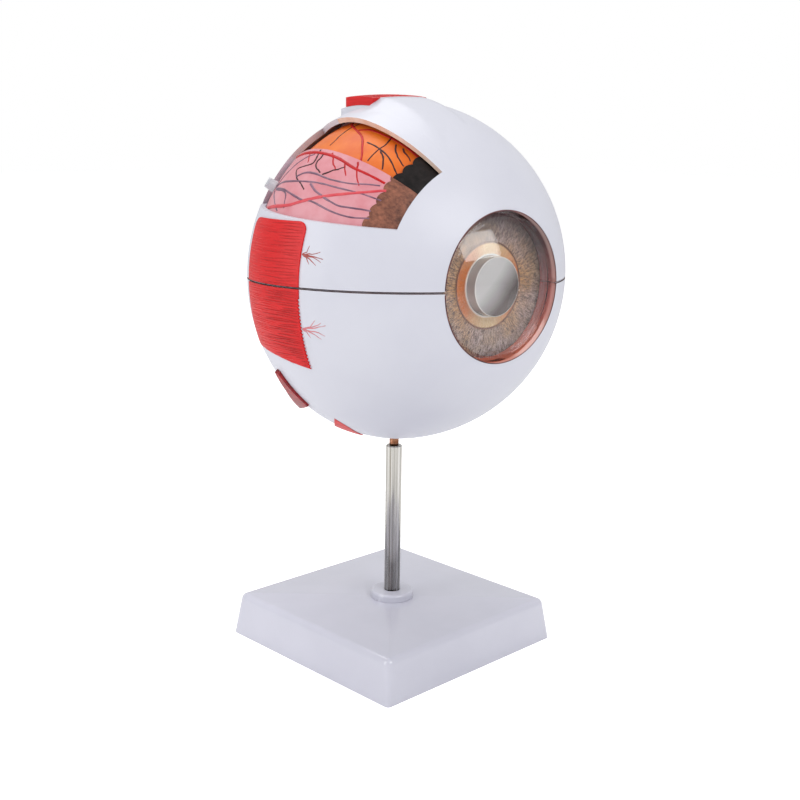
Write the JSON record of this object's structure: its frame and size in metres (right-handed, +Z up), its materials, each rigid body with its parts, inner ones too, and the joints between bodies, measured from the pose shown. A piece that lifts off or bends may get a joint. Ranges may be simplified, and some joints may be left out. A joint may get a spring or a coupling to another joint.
{
  "type": "eye anatomy model",
  "caption": "Enlarged ball-shaped teaching model of an eye on a square stand; it turns on its rod and comes apart into shells, liners, iris, lens, vitreous body and cornea.",
  "frame": {"origin": "On the rod's axis, on the plane that the stand rests on.", "axes": "+Z up along the rod; the eye looks along -Y; -X is the eye's lateral side, so it is a right eye."},
  "size_m": [0.1494, 0.1495, 0.2511],
  "materials": {
    "base_white": "glossy injection-moulded plastic, pale lavender white",
    "pad_grey": "matt dark sheet",
    "rod_steel": "polished",
    "zinc_steel": "plain zinc-plated",
    "pin_brass": "drawn, dull",
    "bush_brass": "turned",
    "sclera_white": "glossy moulded plastic",
    "peg_plastic": "plain moulded",
    "muscle_red": "painted in streaks and varnished",
    "oblique_red": "painted in streaks and varnished",
    "nerve_cream": "painted and varnished",
    "vessel_red": "painted",
    "choroid_pink": "painted with vessels and varnished",
    "retina_orange": "painted with vessels and varnished",
    "edge_brown": "painted",
    "edge_black": "painted",
    "vein_grey": "painted",
    "iris_amber": "painted in fine rays under varnish",
    "ciliary_brown": "painted",
    "cornea_clear": "clear, polished",
    "lens_clear": "clear, polished",
    "vitreous_clear": "clear, polished"
  },
  "bodies": {
    "stand": {"base_shell": "base_white", "base_pad": "pad_grey", "rod_foot": "base_white", "rod": "rod_steel", "rod_washer": "zinc_steel", "rod_nut": "zinc_steel"},
    "turning_pin": {"ball_pin": "pin_brass"},
    "lower_half": {"pin_bush": "bush_brass", "sclera_lower": "sclera_white", "locating_pegs": "peg_plastic", "lateral_rectus_lower": "muscle_red", "medial_rectus_lower": "muscle_red", "inferior_rectus": "muscle_red", "inferior_oblique": "oblique_red", "optic_nerve": "nerve_cream", "nerve_vessels": "vessel_red"},
    "lower_liner": {"choroid_lower": "choroid_pink", "retina_lower": "retina_orange"},
    "upper_half": {"sclera_upper": "sclera_white", "lateral_rectus_upper": "muscle_red", "medial_rectus_upper": "muscle_red", "superior_rectus": "muscle_red", "superior_oblique": "oblique_red"},
    "upper_liner": {"choroid_upper": "choroid_pink", "retina_upper": "retina_orange", "brown_edge": "edge_brown", "black_edge": "edge_black", "vein_stub": "vein_grey"},
    "iris_stack": {"iris": "iris_amber", "ciliary_ring": "ciliary_brown"},
    "cornea_cap": {"cornea": "cornea_clear"},
    "lens_body": {"lens": "lens_clear"},
    "vitreous": {"vitreous_body": "vitreous_clear"}
  },
  "joints": [
    {"name": "swivel", "type": "hinge", "parent": "stand", "child": "turning_pin", "pos_m": [0, 0, 0.09], "axis": [0, 0, 1], "continuous": true},
    {"name": "ball_lift", "type": "slide", "parent": "turning_pin", "child": "lower_half", "axis": [0, 0, 1], "range_m": [0, 0.03]},
    {"name": "upper_lift", "type": "slide", "parent": "lower_half", "child": "upper_half", "axis": [0, 0, 1], "range_m": [0, 0.3]},
    {"name": "upper_liner_lift", "type": "slide", "parent": "lower_half", "child": "upper_liner", "axis": [0, 0, 1], "range_m": [0, 0.255]},
    {"name": "lower_liner_lift", "type": "slide", "parent": "lower_half", "child": "lower_liner", "axis": [0, 0, 1], "range_m": [0, 0.036]},
    {"name": "iris_lift", "type": "slide", "parent": "lower_half", "child": "iris_stack", "axis": [0, 0, 1], "range_m": [0, 0.126]},
    {"name": "lens_slide", "type": "slide", "parent": "iris_stack", "child": "lens_body", "axis": [0, -1, 0], "range_m": [0, 0.006]},
    {"name": "vitreous_slide", "type": "slide", "parent": "iris_stack", "child": "vitreous", "axis": [0, 1, 0], "range_m": [0, 0.0075]},
    {"name": "cornea_pull", "type": "slide", "parent": "iris_stack", "child": "cornea_cap", "axis": [0, -1, 0], "range_m": [0, 0.04]}
  ],
  "couplings": [
    {"joint": "upper_liner_lift", "follows": "upper_lift", "ratio": 0.85},
    {"joint": "lower_liner_lift", "follows": "upper_lift", "ratio": 0.12},
    {"joint": "iris_lift", "follows": "upper_lift", "ratio": 0.42},
    {"joint": "lens_slide", "follows": "upper_lift", "ratio": 0.02},
    {"joint": "vitreous_slide", "follows": "upper_lift", "ratio": 0.025}
  ]
}
